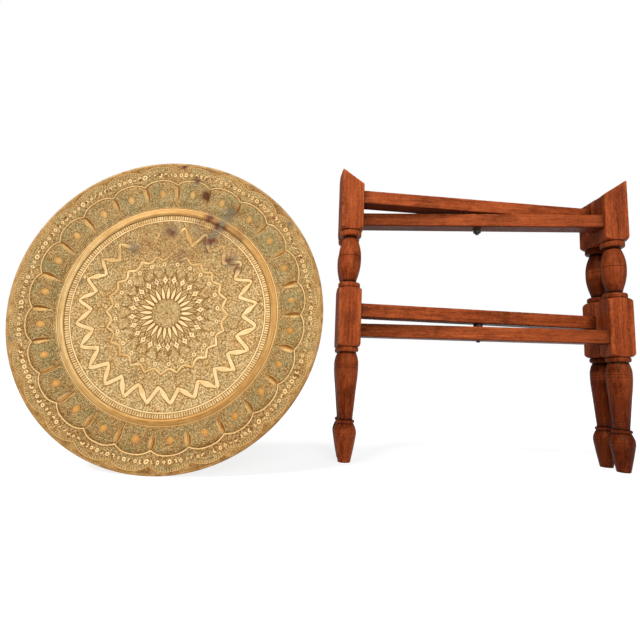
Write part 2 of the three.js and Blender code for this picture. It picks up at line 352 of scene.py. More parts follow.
def wood_material(name, seed):
    """Reddish brown hardwood under worn satin varnish, its grain along the piece's own Z."""
    n = Nodes(name)
    offset = (seed * 0.37, seed * 0.71, seed * 0.13)
    place = n.stretched(n.attribute("own_place", "Vector"), (1, 1, 1), offset)
    wavy = n.noise(n.stretched(place, (1, 1, 0.22)), 22, 3, 0.55, 0.4)
    figure = n.noise(n.stretched(place, (1, 1, 0.05)), 190, 5, 0.6, 1.1)
    pores = n.noise(n.stretched(place, (1, 1, 0.035)), 900, 2, 0.5)
    clouds = n.noise(place, 14, 4, 0.6)
    scuffs = n.noise(n.stretched(place, (1, 1, 0.5)), 120, 6, 0.75)
    mottle = n.noise(n.stretched(place, (1, 1, 0.6)), 330, 4, 0.75)

    tint = n.math("ADD", n.math("MULTIPLY", figure, 0.44), n.math("MULTIPLY", wavy, 0.26))
    tint = n.math("ADD", tint, n.math("MULTIPLY", mottle, 0.30))
    colour = n.ramp(tint, [(at, wood_paint(*look)) for at, *look in WOOD_LOOKS])
    pore_mask = n.remap(pores, 0.40, 0.30)
    colour = n.mix(n.math("MULTIPLY", pore_mask, 0.45), colour, wood_paint(64, 20, 6))
    cloud_mask = n.remap(clouds, 0.48, 0.68, 0, 0.60)
    colour = n.mix(cloud_mask, colour, wood_paint(106, 40, 14))
    # Dirt, and painted shade, in the hollows of the turnings and towards the rails' ends.
    grime_and_shade = n.attribute("grime_and_shade")
    colour = n.mix(n.math("MULTIPLY", grime_and_shade, 0.90), colour, wood_paint(48, 17, 8))
    # Lighter where the wood is worn, and over the bellies of the turnings as a painted highlight.
    worn = n.math("MULTIPLY", n.attribute("worn"), n.remap(scuffs, 0.42, 0.62))
    colour = n.mix(n.math("MULTIPLY", worn, 0.72), colour, wood_paint(232, 124, 68))
    # Painted shade: darker on the right-hand legs and towards their feet, under the rails and towards each
    # rail's end at its frame's right leg.
    painted_shade = n.math("MULTIPLY", n.attribute("painted_shade"), n.remap(clouds, 0.30, 0.70, 1.10, 0.80), clamp=True)
    colour = n.mix(painted_shade, colour, (0.26, 0.18, 0.13), "MULTIPLY")
    n.link(colour, n.shader, "Base Color")

    roughness = n.math("ADD", n.remap(scuffs, 0.35, 0.75, 0.42, 0.60), n.math("MULTIPLY", worn, 0.18))
    n.link(roughness, n.shader, "Roughness")
    n.shader.inputs["Specular IOR Level"].default_value = 0.10
    n.shader.inputs["Specular Tint"].default_value = (1.0, 0.50, 0.28, 1)
    relief = n.math("SUBTRACT", n.math("MULTIPLY", figure, 0.5), pore_mask)
    n.bump(relief, 0.22, 0.0006)
    return n.material


# Shade from 0 to 1, and how the brass looks there, in sRGB from 0 to 255.
CHASED_BRASS = (
    (0.00, 118, 76, 28), (0.28, 172, 132, 74), (0.52, 208, 172, 113),
    (0.78, 238, 204, 146), (1.00, 260, 230, 174),
)
SMOOTH_BRASS = (
    (0.00, 104, 62, 20), (0.30, 166, 106, 40), (0.55, 208, 148, 68),
    (0.80, 244, 200, 128), (1.00, 264, 230, 170),
)
PATINA_BRASS = (
    (0.00, 104, 66, 22), (0.35, 156, 118, 58),
    (0.60, 188, 156, 94), (1.00, 232, 208, 156),
)
COOL_BRASS = (
    (0.00, 88, 72, 34), (0.35, 144, 132, 82),
    (0.60, 178, 166, 114), (1.00, 226, 214, 166),
)


def brass_ramp(n, shade, stops):
    return n.ramp(shade, [(at, brass_paint(*colour)) for at, *colour in stops])


def brass_material():
    """Old engraved brass: bright where the relief is rubbed, dark lines, green and brown tarnish."""
    n = Nodes("aged_brass")
    place = n.attribute("own_place", "Vector")
    tone, plain = n.attribute("tone"), n.attribute("plain")
    polish, green, stain = n.attribute("polish"), n.attribute("green"), n.attribute("stain")

    speckle = n.noise(place, 640, 3, 0.7, 0.6)
    chasing = n.cells(place, 430, "DISTANCE_TO_EDGE")
    patches = n.noise(place, 26, 5, 0.6)
    brushing = n.noise(place, 70, 6, 0.7)

    engraved = n.math("SUBTRACT", 1.0, plain)
    wavering = n.math("MULTIPLY", n.math("SUBTRACT", speckle, 0.5), engraved)
    shade = n.math("ADD", tone, n.math("MULTIPLY", wavering, 1.3))
    strokes = n.remap(chasing, 0.0, 0.16, -0.16, 0.04)
    shade = n.math("ADD", shade, n.math("MULTIPLY", strokes, engraved))
    shade = n.math("ADD", shade, n.remap(brushing, 0.3, 0.7, -0.05, 0.05))
    chased = brass_ramp(n, shade, CHASED_BRASS)
    smooth = brass_ramp(n, shade, SMOOTH_BRASS)
    gold = n.remap(n.noise(place, 34, 3, 0.55, 0.3), 0.50, 0.64, 0.0, 0.42)
    colour = n.mix(n.math("MAXIMUM", plain, gold), chased, smooth)
    green_mask = n.math("MULTIPLY", green, n.remap(patches, 0.34, 0.60, 0.45, 1.0), clamp=True)
    patina = brass_ramp(n, shade, PATINA_BRASS)
    cool = brass_ramp(n, shade, COOL_BRASS)
    clouds = n.noise(place, 48, 3, 0.5)
    patina = n.mix(n.remap(clouds, 0.44, 0.58, 0.0, 0.75), patina, cool)
    colour = n.mix(n.math("MULTIPLY", green_mask, 0.85), colour, patina)
    stain_mask = n.math("MULTIPLY", stain, n.remap(patches, 0.38, 0.60, 0.45, 1.1), clamp=True)
    tarnish = n.mix(n.remap(clouds, 0.44, 0.56), brass_paint(98, 44, 24), brass_paint(124, 112, 88))
    colour = n.mix(n.math("MULTIPLY", stain_mask, 0.92), colour, tarnish)
    n.link(colour, n.shader, "Base Color")

    bare = n.math("MULTIPLY", polish, n.math("SUBTRACT", 1.0, stain_mask))
    n.link(n.math("ADD", 0.26, n.math("MULTIPLY", bare, 0.52)), n.shader, "Metallic")
    rough = n.math("SUBTRACT", 0.50, n.math("MULTIPLY", bare, 0.18))
    n.link(n.math("ADD", rough, n.remap(brushing, 0.3, 0.7, -0.04, 0.08)), n.shader, "Roughness")
    n.shader.inputs["Specular IOR Level"].default_value = 0.14
    depth = n.math("MULTIPLY", n.math("ADD", speckle, n.remap(chasing, 0.0, 0.2)), engraved)
    n.bump(depth, 0.30, 0.0005)
    return n.material


def iron_material():
    """Dull dark iron with patches of brown rust."""
    n = Nodes("dark_iron")
    place = n.attribute("own_place", "Vector")
    mottle = n.noise(place, 420, 5, 0.65)
    rust = n.remap(n.noise(place, 160, 4, 0.6), 0.50, 0.68)
    colour = n.ramp(mottle, [(0.3, (0.020, 0.017, 0.015)), (0.7, (0.075, 0.066, 0.058))])
    n.link(n.mix(n.math("MULTIPLY", rust, 0.7), colour, (0.110, 0.042, 0.018)), n.shader, "Base Color")
    n.link(n.math("SUBTRACT", 0.9, n.math("MULTIPLY", rust, 0.7)), n.shader, "Metallic")
    n.link(n.remap(mottle, 0.3, 0.7, 0.38, 0.62), n.shader, "Roughness")
    n.bump(mottle, 0.25, 0.0004)
    return n.material


def peg_material():
    """Dark end grain of the pegs."""
    n = Nodes("dark_peg_wood")
    place = n.attribute("own_place", "Vector")
    rings = n.noise(place, 900, 3, 0.6)
    colour = n.ramp(rings, [(0.35, (0.030, 0.010, 0.005)), (0.65, (0.120, 0.036, 0.015))])
    n.link(colour, n.shader, "Base Color")
    n.link(n.remap(rings, 0.3, 0.7, 0.45, 0.65), n.shader, "Roughness")
    n.bump(rings, 0.3, 0.0004)
    return n.material


# ------------------------------------------------------------------ legs

STOCK_HALF = 22.0
CORNER = 33.0
SEAT_SLOPE = math.tan(math.radians(33))
PEAK_FLAT = 2.2
LEG_COLUMNS = 144
CORNER_SHARPNESS = 18


def square_outline(angles, half, sharpness=CORNER_SHARPNESS):
    """Polar radius of a square with slightly rounded corners."""
    c, s = np.abs(np.cos(angles)), np.abs(np.sin(angles))
    return half / (c**sharpness + s**sharpness) ** (1 / sharpness)


def bead(side, crest, bottom, top, steps=9):
    """A half-round ring of the turning."""
    turns = np.linspace(0, math.pi, steps)
    middle, half = (bottom + top) / 2, (top - bottom) / 2
    return [(side + (crest - side) * math.sin(t) ** 0.8, middle - half * math.cos(t)) for t in turns]


def groove(radius, height, width=1.3, depth=0.75):
    steps = np.linspace(-1, 1, 5)
    return [(radius - depth * (1 - s * s), height + s * width / 2) for s in steps]


def collar(bottom, top, neck):
    """The flat-sided ring beside a block, its lower or upper lip rounded over."""
    return [
        (neck, bottom),
        *curve_through([(19.4, bottom + 0.5), (20.8, bottom + 1.7), (21.3, bottom + 3.6)], 3),
        (21.4, (bottom + top) / 2),
        *curve_through([(21.3, top - 3.0), (20.9, top - 1.4), (20.0, top - 0.4)], 3),
    ]


def shoulder(start, direction, steps=14):
    """Rounded end of a square block, from its small quirk out to past the corners."""
    turns = np.linspace(0, math.pi / 2, steps)
    points = [(19.2, start - direction * 0.6)]
    points += [
        (20.9 + (CORNER - 20.9) * math.sin(t), start + direction * 19.0 * (1 - math.cos(t)))
        for t in turns
    ]
    return points if direction > 0 else points[::-1]


def leg_turning():
    """[radius, height] pairs of a leg's turning, from the foot to the start of the upper block."""
    foot = curve_through([(10.0, 0.0), (11.2, 0.6), (11.9, 2.4), (16.6, 25), (20.7, 48), (21.15, 51.6)], 6)
    bulge = curve_through([(21.15, 53.6), (20.5, 58.5), (18.2, 65), (15.4, 70.2)], 5)
    ankle = bead(15.2, 17.3, 70.8, 76.6)
    low_taper = curve_through([(13.5, 77.4), (13.8, 81.5)], 2)
    fine = []
    for height, radius in ((83.0, 13.95), (86.6, 14.25), (90.2, 14.55)):
        fine += groove(radius, height, 1.2, 0.5)
    taper = curve_through([(14.8, 92), (18.0, 127), (20.8, 156), (21.8, 171.5)], 8)
    double = groove(21.9, 174.0) + groove(21.95, 178.6)
    neck = curve_through([(21.9, 180.6), (21.4, 186.5), (19.7, 194.5), (16.9, 202.0)], 6)
    lower_block = shoulder(213.2, 1) + shoulder(325.8, -1)
    baluster = curve_through(
        [(13.0, 337.0), (14.9, 344.5), (18.8, 358), (21.4, 373), (21.95, 386.6)], 6
    )
    belly = groove(21.95, 388.0, 1.4, 0.9)
    upper_baluster = curve_through([(21.9, 389.4), (21.2, 399), (18.5, 412), (14.7, 423), (13.2, 427.2)], 6)
    return [
        *foot,
        *groove(21.2, 52.6, 1.4, 0.6),
        *bulge,
        *ankle,
        *low_taper,
        *fine,
        *taper,
        *double,
        *neck,
        *collar(202.8, 212.6, 17.0),
        *lower_block,
        *[(r, 662.4 - h) for r, h in collar(326.0, 336.4, 14.0)[::-1]],
        *baluster,
        *belly,
        *upper_baluster,
        *collar(427.8, 439.4, 14.0),
        *shoulder(440.2, 1),
    ]


def refined(profile, longest=4.0):
    """The same profile with no step longer than that many millimetres."""
    out = [profile[0]]
    for (r0, h0), (r1, h1) in zip(profile, profile[1:]):
        steps = max(1, math.ceil(math.hypot(r1 - r0, h1 - h0) / longest))
        for k in range(1, steps + 1):
            out.append((r0 + (r1 - r0) * k / steps, h0 + (h1 - h0) * k / steps))
    return np.array(out)


def hollow_grime_and_shade(profile):
    """Dirt and painted shade held in the hollows of a turning: how far each point lies inside the smoothed
    outline.
    """
    radius = np.minimum(profile[:, 0], STOCK_HALF)
    height = profile[:, 1]
    spread = np.exp(-(((height[:, None] - height[None, :]) / 3.8) ** 2))
    smoothed = (spread @ radius) / spread.sum(1)
    return np.clip((smoothed - radius) / 0.85, 0, 1)


def wood_layers(grime_and_shade, worn, painted_shade):
    """Point attributes for the wood from rows by columns, with 0 for the two points of the caps."""
    layers = {"grime_and_shade": grime_and_shade, "worn": worn, "painted_shade": painted_shade}
    return {key: np.append(values.ravel(), [0, 0]) for key, values in layers.items()}


# How much painted shade lies on the turned parts, at the foot and at the top of each leg: most on the two
# right-hand legs.
PAINTED_SHADE_DEPTH = {
    "leg_front_left": (0.00, 0.10),
    "leg_back_left": (0.45, 0.45),
    "leg_front_right": (0.96, 0.46),
    "leg_back_right": (1.00, 0.96),
}


def build_leg(node, outward, body, seed):
    angles = np.linspace(0, TAU, LEG_COLUMNS, endpoint=False)
    angles = angles + 0.55 * np.sin(4 * angles) / 4
    outline = square_outline(angles, STOCK_HALF)
    profile = refined(leg_turning())
    radii = np.minimum(profile[:, :1], outline[None, :])
    heights = np.repeat(profile[:, 1:], LEG_COLUMNS, 1)
    grime_and_shade = np.repeat(hollow_grime_and_shade(profile)[:, None], LEG_COLUMNS, 1)

    # The upper block: rows from its shoulder to the slanted seat, then a rounded edge and the seat.
    height = stand_height / MM
    along = outline * np.cos(angles)
    seat = height - np.maximum(0, STOCK_HALF - PEAK_FLAT - along) * SEAT_SLOPE
    base = profile[-1, 1]
    edge = 1.1
    rise = np.linspace(0, 1, 26)[1:, None]
    block_heights = base + rise * (seat - edge - base)
    turns = np.linspace(0, math.pi / 2, 5)[1:, None]
    edge_radii = outline - edge * (1 - np.cos(turns))
    edge_heights = seat - edge * (1 - np.sin(turns))
    inward = np.linspace(1, 0.02, 12)[1:, None]
    seat_radii = (outline - edge) * inward
    seat_heights = height - np.maximum(0, STOCK_HALF - PEAK_FLAT - seat_radii * np.cos(angles)) * SEAT_SLOPE
    radii = np.concatenate([radii, np.repeat(outline[None], 25, 0), edge_radii, seat_radii])
    heights = np.concatenate([heights, block_heights, edge_heights, seat_heights])
    grime_and_shade = np.concatenate([grime_and_shade, np.zeros((len(radii) - len(grime_and_shade), LEG_COLUMNS))])

    rings = stacked(radii, angles, heights)
    squareness = smooth_step(21.4, 22.2, radii)
    wave = wobble(rings, 60, seed) * 0.16 + wobble(rings, 17, seed + 1) * 0.05
    dents = np.clip(wobble(rings, 9, seed + 2) - 0.62, 0, 1) * 1.6
    shrink = (np.clip(wave, -0.3, 0.0) - dents) * (0.35 + 0.65 * squareness)
    rings[..., :2] *= (1 + shrink / np.maximum(radii, 4))[..., None]

    # Wear on the corners and the seat's edge, and a painted highlight on the bellies of the turnings.
    corners = smooth_step(1.18, 1.33, radii / STOCK_HALF)
    seat_edge = smooth_step(9, 0, np.abs(heights - seat)) * smooth_step(0.9, 1.0, radii / outline)
    belly_highlight = smooth_step(17.5, 21.4, radii) * (1 - squareness) * 0.50
    worn = np.clip(corners * 0.75 + seat_edge * 0.6 + belly_highlight, 0, 1)

    points, faces = capped_rings(rings)
    foot_shade, top_shade = PAINTED_SHADE_DEPTH[node]
    # Painted shade on this leg, from its foot to its top, less on the square blocks.
    painted_shade = (foot_shade + (top_shade - foot_shade) * np.clip(heights / 440, 0, 1)) * (1 - 0.65 * squareness)
    flat = wood_layers(grime_and_shade, worn, painted_shade)
    centre = box_centre(node)
    across = UP.cross(outward)
    matrix = placed(outward, across, UP, Vector((centre.x, centre.y, 0)))
    piece = mesh_object(f"turned_{node}", points, faces, matrix, flat)
    finish_piece(piece, body, wood_material(f"varnished_wood_{node}", seed), "varnished_wood", node)


# ------------------------------------------------------------------ rails and pegs

PEG_COLUMNS = 32
RAIL_COLUMNS = 96
RAIL_ROWS = 150
RECESS_RADIUS = 10.5
RECESSES = {"upper_rail_a": (5.25, 20.0), "lower_rail_a": (5.25, 20.0), "lower_rail_b": (-20.0, -4.65)}


def build_rail(node, letter, seed):
    along = frame_direction(letter)
    across = UP.cross(along)
    low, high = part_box(node)
    half_height = (high.z - low.z) / 2 / MM
    half_width = 17.0
    centre = Vector((pivot.x, pivot.y, (low.z + high.z) / 2))
    legs = FRAMES[letter]
    reach = (box_centre(legs["right"]) - box_centre(legs["left"])).length / 2 / MM - STOCK_HALF + 0.2

    angles = np.linspace(0, TAU, RAIL_COLUMNS, endpoint=False)
    c, s = np.abs(np.cos(angles)), np.abs(np.sin(angles))
    sharp = CORNER_SHARPNESS
    radius = 1 / ((c / half_width) ** sharp + (s / half_height) ** sharp) ** (1 / sharp)
    stations = np.linspace(-reach, reach, RAIL_ROWS)
    rings = stacked(np.repeat(radius[None], RAIL_ROWS, 0), angles, stations[:, None])
    wave = wobble(rings, 70, seed) * 0.22 + wobble(rings * [1, 1, 0.4], 12, seed + 1) * 0.07
    dents = np.clip(wobble(rings, 10, seed + 2) - 0.60, 0, 1) * 1.5
    rings[..., :2] *= (1 + (np.clip(wave, -0.4, 0) - dents) / 16)[..., None]

    # The rail's own Z runs along it, as the grain does; own X is level and own Y points up.
    corner = smooth_step(0.80, 0.97, np.minimum(c / half_width, s / half_height) * radius)
    worn = np.clip(np.repeat(corner[None], RAIL_ROWS, 0) + 0.40, 0, 1)
    # Dirt and painted shade towards the rail's ends, where it meets the legs.
    ends = smooth_step(20, 0, reach - np.abs(stations))
    grime_and_shade = np.repeat((ends * 0.65)[:, None], RAIL_COLUMNS, 1)
    # Painted shade: darker on the rail's underside, a little darker all along, more so on the lower rails,
    # and towards the end at the frame's right leg.
    underside = smooth_step(-0.80, -0.97, radius * np.sin(angles) / half_height)
    darker = (0.11 if "lower" in node else 0.04) + 0.30 * smooth_step(0.20, 1.0, stations / reach)
    painted_shade = np.maximum(underside[None] * 0.85, darker[:, None])
    points, faces = capped_rings(rings)
    flat = wood_layers(grime_and_shade, worn * (1 - painted_shade), painted_shade)
    matrix = placed(across, UP, along, centre)
    piece = mesh_object(f"planed_{node}", points, faces, matrix, flat)
    if node in RECESSES:
        upright = placed(along, across, UP, centre)
        cut_round_hole(piece, upright, RECESS_RADIUS, *RECESSES[node])
    material = wood_material(f"varnished_wood_{node}", seed)
    finish_piece(piece, FRAMES[letter]["body"], material, "varnished_wood", node)


def build_peg(node, letter, material):
    """A peg whose two worn ends show, very slightly domed, on the sides of a leg's block."""
    along = frame_direction(letter)
    across = UP.cross(along)
    profile = [(0.3, -21.95), (1.8, -21.9), (2.7, -21.7), (3.15, -21.2), (3.2, -20.5)]
    profile = np.array(profile + [(r, -h) for r, h in profile[::-1]])
    angles = np.linspace(0, TAU, PEG_COLUMNS, endpoint=False)
    radii = np.repeat(profile[:, :1], PEG_COLUMNS, 1)
    points, faces = capped_rings(stacked(radii, angles, profile[:, 1:]))
    matrix = placed(UP, along, across, box_centre(node))
    piece = mesh_object(f"worn_{node}", points, faces, matrix)
    finish_piece(piece, FRAMES[letter]["body"], material, "dark_peg_wood", node)


# ------------------------------------------------------------------ pivot hardware

HARDWARE_COLUMNS = 72
HEX_HALF = 6.5
WASHER_RADIUS = 8.9
BOLT_RADIUS = 4.0


def hexagon(angles):
    """Polar radius of a hexagon that is 2 * HEX_HALF across its flats."""
    folded = (angles + math.pi / 6) % (math.pi / 3) - math.pi / 6
    return HEX_HALF / np.cos(folded)


def round_piece(name, profile, matrix, outline=None, looped=False):
    """A turned piece, its radius held inside a polar outline where one is given."""
    angles = np.linspace(0, TAU, HARDWARE_COLUMNS, endpoint=False)
    profile = np.array(profile, float)
    radii = np.repeat(profile[:, :1], HARDWARE_COLUMNS, 1)
    if outline is not None:
        radii = np.minimum(radii, outline(angles))
    rings = stacked(radii, angles, profile[:, 1:])
    if looped:
        faces = [ring_faces(len(rings), HARDWARE_COLUMNS, True)]
        return mesh_object(name, rings.reshape(-1, 3), faces, matrix)
    points, faces = capped_rings(rings)
    return mesh_object(name, points, faces, matrix)


def upright_at(node):
    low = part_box(node)[0]
    turn = frame_direction("a")
    across = UP.cross(turn)
    return placed(turn, across, UP, Vector((pivot.x, pivot.y, low.z)))


def node_height(node):
    low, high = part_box(node)
    return (high.z - low.z) / MM


def build_washer(node, material):
    h = node_height(node)
    lip, r = min(0.35, h * 0.2), WASHER_RADIUS
    profile = [
        (4.6, 0), (r - lip, 0), (r - 0.1, lip * 0.4), (r, lip), (r, h - lip),
        (r - 0.1, h - lip * 0.4), (r - lip, h), (4.6, h), (4.4, h - lip), (4.4, lip),
    ]
    piece = round_piece(f"round_{node}", profile, upright_at(node), looped=True)
    finish_piece(piece, "frame_a", material, "dark_iron", node)


def build_nut(node, material):
    h = node_height(node)
    cone = 7.5
    profile = [
        (4.9, 0), (6.3, 0), (6.9, 0.35), (cone, 1.0), (cone, h - 1.0), (6.9, h - 0.35), (6.3, h), (4.9, h),
        (4.35, h - 0.6), (4.35, 0.6),
    ]
    piece = round_piece(f"hex_{node}", profile, upright_at(node), hexagon, looped=True)
    finish_piece(piece, "frame_a", material, "dark_iron", node)


def build_bolt(node, material):
    h = node_height(node)
    head = h - 5.3
    shank = [(0.3, 0), (2.6, 0.0), (3.3, 0.5)]
    pitch = 1.25
    for turn in range(12):
        shank += [(3.9, 0.9 + turn * pitch), (3.45, 0.9 + (turn + 0.5) * pitch)]
    shank += [(3.9, 16.5), (3.9, head), (6.2, head), (7.0, head + 0.5), (7.5, head + 1.1)]
    top = [(7.5, h - 1.2), (6.9, h - 0.5), (6.1, h), (0.3, h)]
    piece = round_piece(f"hex_{node}", shank + top, upright_at(node), hexagon)
    finish_piece(piece, "frame_a", material, "dark_iron", node)


# ------------------------------------------------------------------ tray

SHEET = 1.5
PANELS = 24
SECTOR = TAU / PANELS
# Outer share of the radius, rows and columns of each belt of the face's grid, from the middle out.
FACE_BELTS = ((0.180, 66, 480), (0.350, 64, 900), (0.700, 140, 1440), (0.985, 108, 1800))
UNDER_BELTS = ((0.300, 24, 240), (0.985, 66, 600))
# The rolled edge, from under the rim round to its face: share of the radius, height in mm.
ROLL = (
    (0.9930, -SHEET - 0.55), (0.9975, -SHEET - 0.45), (0.9995, -SHEET - 0.05),
    (1.0000, -1.0), (0.9996, -0.45), (0.9982, -0.12),
    (0.9960, -0.02), (0.9920, -0.02), (0.9885, -0.06),
)


def tray_place():
    """The tray's own frame in the row, and its radius in millimetres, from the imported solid."""
    mesh = frame["nodes"]["brass_tray"].data
    points = np.array([v.co for v in mesh.vertices])
    middle = (points.max(0) + points.min(0)) / 2
    for _ in range(3):
        offset = points - middle
        _, _, axes = np.linalg.svd(offset - offset.mean(0), full_matrices=False)
        normal = axes[2] * (1 if axes[2][1] < 0 else -1)
        depth = offset @ normal
        flat = offset - depth[:, None] * normal
        rim = np.linalg.norm(flat, axis=1) > 0.99 * np.linalg.norm(flat, axis=1).max()
        middle = middle + flat[rim].mean(0)
    offset = points - middle
    depth = (offset @ normal).max()
    radius = np.linalg.norm(offset - (offset @ normal)[:, None] * normal, axis=1).max() / MM
    z_axis = Vector(normal)
    x_axis = UP.cross(z_axis).normalized()
    y_axis = z_axis.cross(x_axis)
    return placed(x_axis, y_axis, z_axis, Vector(middle + normal * depth)), radius


def tray_section(u):
    """Height of the plain dished sheet below the rim's plane, in millimetres, at u of the radius."""
    marks = [0.0, 0.659, 0.672, 0.681, 0.711, 0.721, 0.792, 0.858, 0.896, 0.962, 0.986, 1.0]
    levels = [-14.0, -14.0, -11.3, -11.1, -13.3, -13.4, -9.8, -5.4, -3.2, -1.0, -0.1, -0.1]
    fine = np.linspace(0, 1, 2001)
    heights = np.interp(fine, marks, levels)
    window = np.hanning(15)
    padded = np.pad(heights, 7, mode="edge")
    return np.interp(u, fine, np.convolve(padded, window / window.sum(), "valid"))


class Relief:
    """The tray's ornament at a set of points: embossed height, line height, tone and masks."""

    # The ornament is laid out by shares of the flat pattern's radius, which the dishing stretches.
    SHEET_SHARES = (0.0, 0.656, 0.721, 0.792, 0.851, 0.880, 0.944, 1.0)
    PATTERN_SHARES = (0.0, 0.640, 0.704, 0.777, 0.842, 0.874, 0.942, 1.0)

    # The floor's ornament was struck a little off the rim's centre, and turned a little.
    DRIFT = (-1.2, -2.4)
    TURN = math.radians(0.4)

    def __init__(self, u, angle, radius):
        on_floor = smooth_step(0.80, 0.70, u)
        self.x = u * np.cos(angle) * radius - self.DRIFT[0] * smooth_step(0.64, 0.54, u)
        self.y = u * np.sin(angle) * radius - self.DRIFT[1] * on_floor
        u = self.sheet_u = np.hypot(self.x, self.y) / radius
        angle = self.angle = np.arctan2(self.y, self.x) - self.TURN * on_floor
        self.emboss = np.zeros(u.shape)
        self.line = np.zeros(u.shape)
        self.tone = np.full(u.shape, 0.5)
        self.plain = np.zeros(u.shape)
        self.polish = np.zeros(u.shape)
        self.green = np.full(u.shape, 0.22)
        u = self.u = np.interp(u, self.SHEET_SHARES, self.PATTERN_SHARES)
        # Hand work strays a little from the true spacing.
        stray = self.uneven(38, 5, 0.09)
        turned = angle / SECTOR + stray
        self.joint = (turned + 0.5) % 1 - 0.5  # 0 on the line between two panels
        self.middle = turned % 1 - 0.5  # 0 on the middle line of a panel
        self.joint_run = self.joint * SECTOR * u
        self.middle_run = self.middle * SECTOR * u
        self.joint_index = np.round(turned).astype(int) % PANELS
        self.middle_index = np.floor(turned).astype(int) % PANELS
        self.wander = self.uneven(30, 9, 0.010)
        # How fast 2 * joint or 2 * middle grows with distance round the tray.
        self.pace = 2 / (SECTOR * np.maximum(u, 0.05))

    def noise(self, cell, seed):
        return lattice_noise(self.x, self.y, cell, seed)

    def uneven(self, cell, seed, reach):
        """The same noise centred on zero."""
        return reach * (self.noise(cell, seed) - 0.5)

    def mark(self, mask, tone, line=0.0, plain=None):
        """Sets the tone where the mask is, raises or sinks it, and says how plain it is."""
        self.tone = self.tone * (1 - mask) + tone * mask
        self.line = self.line * (1 - mask) + line * mask
        if plain is not None:
            self.plain = self.plain * (1 - mask) + plain * mask

    def tint(self, mask, green):
        self.green = self.green * (1 - mask) + green * mask

    def cut(self, distance, half=0.0020, strength=1.0):
        """A dark engraved line."""
        mask = soft_band(distance, half, 0.0014) * strength
        self.mark(mask, 0.0, -0.25, 0.35)
        self.tint(mask, 0.0)

    def raised(self, distance, half, tone=0.95, line=0.35):
        """A rubbed bright raised line or figure."""
        mask = soft_band(distance, half, 0.0014)
        self.mark(mask, tone, line, 0.9)
        self.tint(mask, 0.0)

    def smooth(self, mask, tone, polish=1.0):
        """Plain burnished metal."""
        self.mark(mask, tone, 0.0, 1.0)
        self.tint(mask, 0.0)
        self.polish = self.polish * (1 - mask) + polish * mask

    def ribbon(self, distance, half, tone, line, outline=0.0024):
        """A raised plain band with an engraved line on both sides; distance is 0 on its middle."""
        self.cut(np.abs(distance) - half - outline, outline * 0.8)
        self.raised(distance, half, tone, line)


def scrollwork(x, y, cell, pitch, seed):
    """Small spirals round jittered centres, like chased foliage; from -1 to 1."""
    rng = np.random.default_rng(seed)
    jitter = rng.random((64, 64, 3))
    gx, gy = x / cell, y / cell
    ix, iy = np.floor(gx).astype(int), np.floor(gy).astype(int)
    nearest = np.full(x.shape, 1e9)
    value = np.zeros(x.shape)
    for dx in (-1, 0, 1):
        for dy in (-1, 0, 1):
            cx, cy = ix + dx, iy + dy
            spot = jitter[cx % 64, cy % 64]
            ax = (gx - cx - 0.15 - 0.7 * spot[..., 0]) * cell
            ay = (gy - cy - 0.15 - 0.7 * spot[..., 1]) * cell
            away = np.hypot(ax, ay)
            hand = np.where(spot[..., 2] > 0.5, 1, -1)
            wave = np.cos(TAU * away / pitch + hand * np.arctan2(ay, ax) + TAU * spot[..., 2])
            closer = away < nearest
            value = np.where(closer, wave, value)
            nearest = np.minimum(nearest, away)
    return value


def punch_dots(x, y, cell, radius, seed):
    """Scattered round punch marks: 1 inside one, 0 outside."""
    jitter = np.random.default_rng(seed).random((64, 64, 3))
    gx, gy = x / cell, y / cell
    ix, iy = np.floor(gx).astype(int), np.floor(gy).astype(int)
    mask = np.zeros(x.shape)
    for dx in (-1, 0, 1):
        for dy in (-1, 0, 1):
            cx, cy = ix + dx, iy + dy
            spot = jitter[cx % 64, cy % 64]
            away = np.hypot(gx - cx - spot[..., 0], gy - cy - spot[..., 1]) * cell
            mask = np.maximum(mask, smooth_step(radius * 1.3, radius * 0.6, away) * (spot[..., 2] > 0.35))
    return mask


def design_ground(r):
    """Fine chased foliage over everything that isn't plain."""
    fine = np.tanh(1.8 * scrollwork(r.x, r.y, 6.6, 4.0, 21))
    coarse = np.tanh(1.5 * scrollwork(r.x, r.y, 13.0, 5.6, 22))
    grain = r.noise(1.9, 23) - 0.5
    leafy = 0.62 * fine + 0.38 * coarse
    patch = r.noise(17, 24) - 0.5
    r.tone += 0.04 + 0.22 * leafy + 0.46 * grain + 0.10 * patch
    r.line += 0.17 * leafy
    r.green += r.uneven(10, 25, 0.60) + 0.30 * np.clip(-leafy, -0.4, 1)
    dots = punch_dots(r.x, r.y, 6.4, 0.95, 26)
    r.mark(dots * 0.75, 0.05, -0.30, 0.2)
    r.tint(dots, 0.0)


def design_medallion(r):
    u = r.u
    inside = soft_band(u, 0.080, 0.003)
    r.tint(inside, 0.42)
    petals = np.cos(8 * r.angle) * np.sin(u / 0.066 * TAU)
    r.mark(inside * 0.40, 0.60 + 0.22 * petals, 0.14 * petals)
    r.cut(u - 0.034, 0.0012, 0.5)
    r.cut(u - 0.078, 0.0014, 0.6)
    r.cut(np.hypot(r.x, r.y * 1.9) / 250, 0.0100, 0.8)


